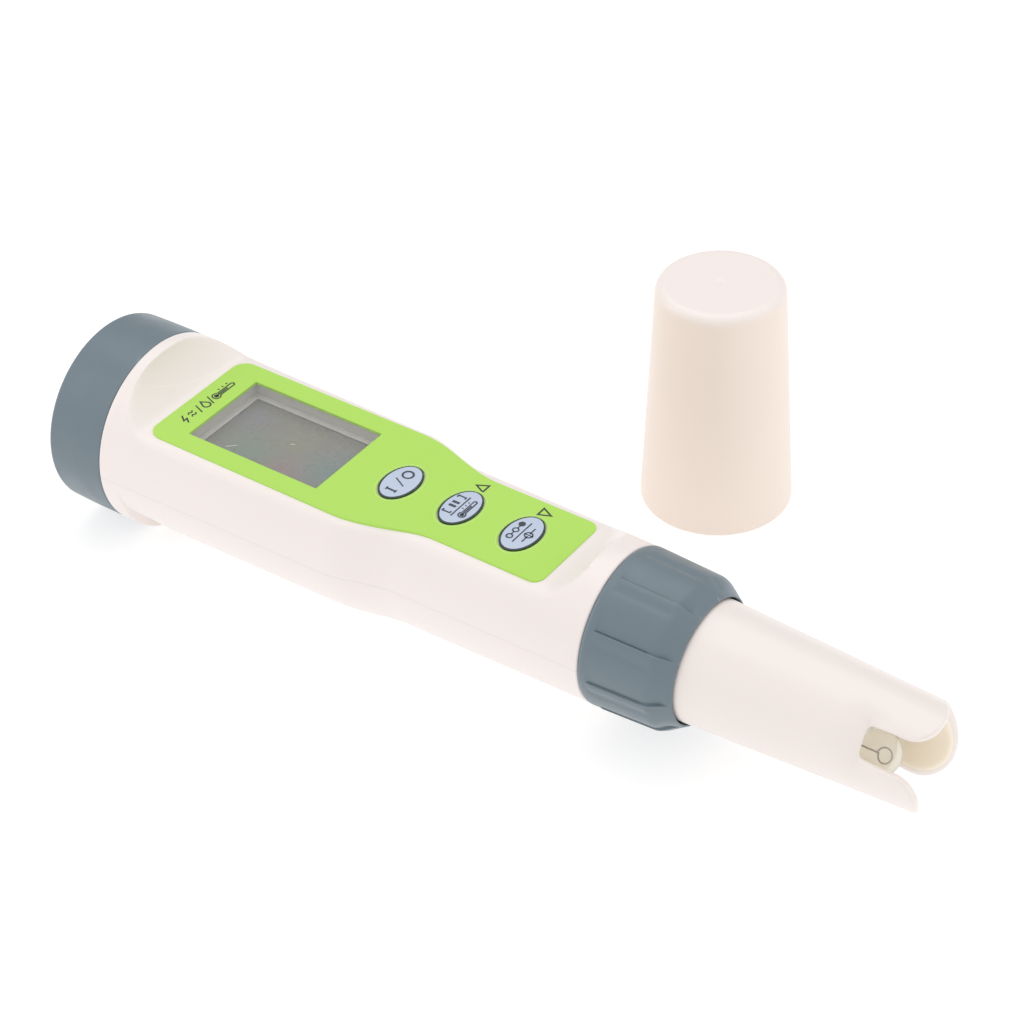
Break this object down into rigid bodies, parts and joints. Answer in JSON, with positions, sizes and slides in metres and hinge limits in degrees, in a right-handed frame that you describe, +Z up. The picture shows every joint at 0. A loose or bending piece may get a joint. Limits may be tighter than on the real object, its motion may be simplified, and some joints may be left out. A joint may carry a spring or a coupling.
{
  "type": "ph test pen",
  "caption": "Pen-style water tester lying on its back: waisted casing with keypad and display, screw battery cap, collar nut, slotted probe with glass bulb, and a protective cap stood beside it",
  "frame": {"origin": "middle of the footprint of the pen and its cap, on the table", "axes": "+X along the pen from the battery cap to the probe tip, +Y from the pen towards the protective cap, +Z up out of the display"},
  "size_m": [0.1802, 0.0958, 0.0485],
  "materials": {
    "casing_white": "satin moulded",
    "probe_white": "satin moulded, slightly milky",
    "cover_cream": "satin moulded, cream",
    "cap_grey": "fine matt moulded, blue grey",
    "label_green": "printed film",
    "key_blue": "printed film, pale blue",
    "clear_window": "clear, lightly smoked",
    "bezel_grey": "matt",
    "lcd_grey": "liquid crystal glass with its polariser, switched off",
    "black_rubber": "matt",
    "board_green": "solder resist",
    "black_plastic": "moulded",
    "steel": "bright",
    "brass": "sprung strip",
    "glass": "thin blown glass",
    "ceramic": "porous, unglazed"
  },
  "bodies": {
    "pen": {"casing": "casing_white", "strap_pin": "steel", "battery_seal": "black_rubber", "keypad_label": "label_green", "display_window": "clear_window", "display_bezel": "bezel_grey", "lcd_glass": "lcd_grey", "zebra_strip": "black_rubber", "circuit_board": "board_green", "board_screw_1": "steel", "board_screw_2": "steel", "board_socket": "black_plastic", "dome_switch_1": "steel", "dome_switch_2": "steel", "dome_switch_3": "steel"},
    "battery_pack": {"battery_tray": "black_plastic", "button_cell_1": "steel", "button_cell_2": "steel", "button_cell_3": "steel", "button_cell_4": "steel", "tray_contact": "brass"},
    "spring_disc": {"cap_contact": "brass"},
    "battery_cap": {"battery_cap": "cap_grey"},
    "probe": {"probe_shroud": "probe_white", "electrode_carrier": "probe_white", "ph_glass": "glass", "silver_wire": "steel", "ec_pin_1": "steel", "ec_pin_2": "steel", "temperature_sensor": "steel", "reference_junction": "ceramic", "probe_plug": "black_plastic", "probe_seal": "black_rubber"},
    "thrust_washer": {"collar_washer": "black_plastic"},
    "collar": {"collar_nut": "cap_grey"},
    "power_key": {"key_power": "key_blue"},
    "hold_key": {"key_hold": "key_blue"},
    "mode_key": {"key_mode": "key_blue"},
    "protective_cap": {"protective_cap": "cover_cream"}
  },
  "joints": [
    {"name": "battery_pull", "type": "slide", "parent": "pen", "child": "battery_pack", "axis": [-1, 0, 0], "range_m": [0, 0.03]},
    {"name": "battery_cap_travel", "type": "slide", "parent": "battery_pack", "child": "spring_disc", "axis": [-1, 0, 0], "range_m": [0, 0.004]},
    {"name": "battery_cap_turn", "type": "hinge", "parent": "spring_disc", "child": "battery_cap", "pos_m": [-0.084, -0.02895, 0.019], "axis": [-1, 0, 0], "range_deg": [0, 720]},
    {"name": "probe_pull", "type": "slide", "parent": "pen", "child": "probe", "axis": [1, 0, 0], "range_m": [0, 0.02]},
    {"name": "collar_travel", "type": "slide", "parent": "probe", "child": "thrust_washer", "axis": [1, 0, 0], "range_m": [0, 0.004]},
    {"name": "collar_turn", "type": "hinge", "parent": "thrust_washer", "child": "collar", "pos_m": [0.03695, -0.02895, 0.019], "axis": [1, 0, 0], "range_deg": [0, 720]},
    {"name": "power_key_press", "type": "slide", "parent": "pen", "child": "power_key", "axis": [0, 0, -1], "range_m": [0, 0.0004], "stiffness_N_per_m": 1200},
    {"name": "hold_key_press", "type": "slide", "parent": "pen", "child": "hold_key", "axis": [0, 0, -1], "range_m": [0, 0.0004], "stiffness_N_per_m": 1200},
    {"name": "mode_key_press", "type": "slide", "parent": "pen", "child": "mode_key", "axis": [0, 0, -1], "range_m": [0, 0.0004], "stiffness_N_per_m": 1200},
    {"name": "protective_cap_lift", "type": "slide", "parent": "pen", "child": "protective_cap", "axis": [0, 0, 1], "range_m": [0, 0.06]}
  ],
  "couplings": [
    {"joint": "battery_cap_travel", "follows": "battery_cap_turn", "m_per_rad": 0.000318},
    {"joint": "collar_travel", "follows": "collar_turn", "m_per_rad": 0.000318}
  ]
}
